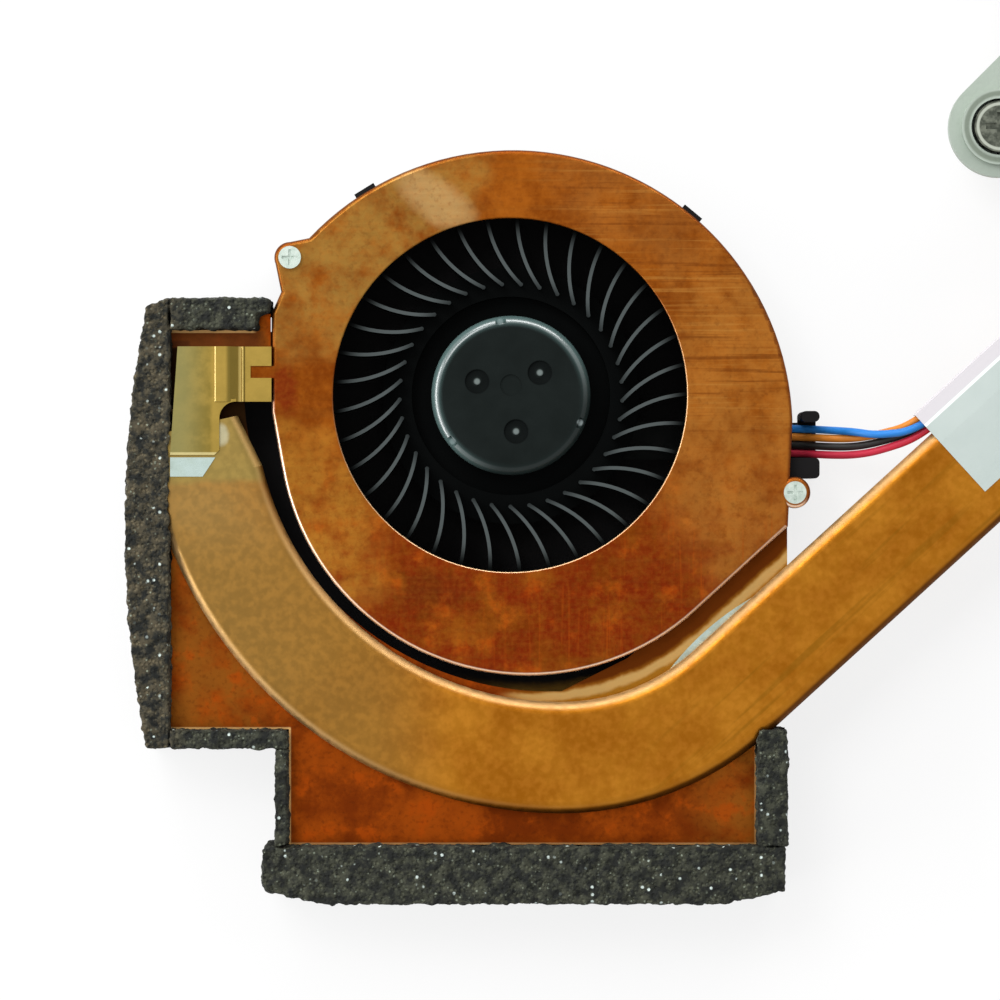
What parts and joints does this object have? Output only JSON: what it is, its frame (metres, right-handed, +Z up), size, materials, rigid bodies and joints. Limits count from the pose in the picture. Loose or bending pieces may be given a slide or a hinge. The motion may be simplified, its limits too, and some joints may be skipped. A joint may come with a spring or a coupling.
{
  "type": "laptop cooling fan heatsink",
  "caption": "Laptop cooler: a flat copper-covered blower, finned outlets with foam seals, a flattened heat pipe swept round it, and a sprung screw bracket over a cold plate.",
  "frame": {"origin": "on the fan's axis, at the underside of its housing", "axes": "+Z up out of the inlet, -X out of the side outlet, -Y out of the front outlet"},
  "size_m": [0.153, 0.1413, 0.012],
  "materials": {
    "cover_copper": "brushed, tarnished",
    "pipe_copper": "drawn, tarnished",
    "fin_copper": "tarnished",
    "plate_copper": "machined",
    "clip_brass": "rolled sheet",
    "solder": "reflowed",
    "housing_plastic": "moulded",
    "impeller_plastic": "moulded",
    "foam": "open cell foam",
    "steel": "turned",
    "screw_steel": "blackened",
    "magnet": "sintered",
    "coil_copper": "enamelled wire",
    "bearing_brass": "turned",
    "board": "solder mask",
    "white_plastic": "moulded",
    "tape": "woven tape",
    "bracket_alloy": "die cast",
    "wire_blue": "extruded",
    "wire_orange": "extruded",
    "wire_black": "extruded",
    "wire_red": "extruded"
  },
  "bodies": {
    "heatsink": {"fan_housing": "housing_plastic", "fan_cover": "cover_copper", "cover_screws": "steel", "bearing_sleeve": "bearing_brass", "thrust_pad": "white_plastic", "stator_core": "steel", "stator_coils": "coil_copper", "motor_board": "board", "wire_blue": "wire_blue", "wire_orange": "wire_orange", "wire_black": "wire_black", "wire_red": "wire_red", "fan_plug": "white_plastic", "wire_tape": "tape", "heat_pipe": "pipe_copper", "fin_plate": "fin_copper", "left_fins": "fin_copper", "bottom_fins": "fin_copper", "left_foam": "foam", "top_foam": "foam", "step_foam": "foam", "notch_foam": "foam", "bottom_foam": "foam", "right_foam": "foam", "pipe_clip": "clip_brass", "clip_solder": "solder", "pipe_solder": "solder", "cpu_bracket": "bracket_alloy", "cold_plate": "plate_copper", "screw_spring_1": "steel", "screw_spring_2": "steel", "screw_spring_3": "steel", "screw_spring_4": "steel"},
    "rotor": {"impeller": "impeller_plastic", "rotor_yoke": "steel", "rotor_magnet": "magnet", "fan_shaft": "steel"},
    "screw_1": {"cpu_screw_1": "screw_steel", "screw_ring_1": "steel"},
    "screw_2": {"cpu_screw_2": "screw_steel", "screw_ring_2": "steel"},
    "screw_3": {"cpu_screw_3": "screw_steel", "screw_ring_3": "steel"},
    "screw_4": {"cpu_screw_4": "screw_steel", "screw_ring_4": "steel"}
  },
  "joints": [
    {"name": "impeller_spin", "type": "hinge", "parent": "heatsink", "child": "rotor", "pos_m": [0, 0, 0.005], "axis": [0, 0, 1], "continuous": true},
    {"name": "screw_1_press", "type": "slide", "parent": "heatsink", "child": "screw_1", "axis": [0, 0, -1], "range_m": [0, 0.0012], "stiffness_N_per_m": 1500, "springref_m": -0.001, "deforming": ["screw_spring_1"]},
    {"name": "screw_2_press", "type": "slide", "parent": "heatsink", "child": "screw_2", "axis": [0, 0, -1], "range_m": [0, 0.0012], "stiffness_N_per_m": 1500, "springref_m": -0.001, "deforming": ["screw_spring_2"]},
    {"name": "screw_3_press", "type": "slide", "parent": "heatsink", "child": "screw_3", "axis": [0, 0, -1], "range_m": [0, 0.0012], "stiffness_N_per_m": 1500, "springref_m": -0.001, "deforming": ["screw_spring_3"]},
    {"name": "screw_4_press", "type": "slide", "parent": "heatsink", "child": "screw_4", "axis": [0, 0, -1], "range_m": [0, 0.0012], "stiffness_N_per_m": 1500, "springref_m": -0.001, "deforming": ["screw_spring_4"]}
  ]
}
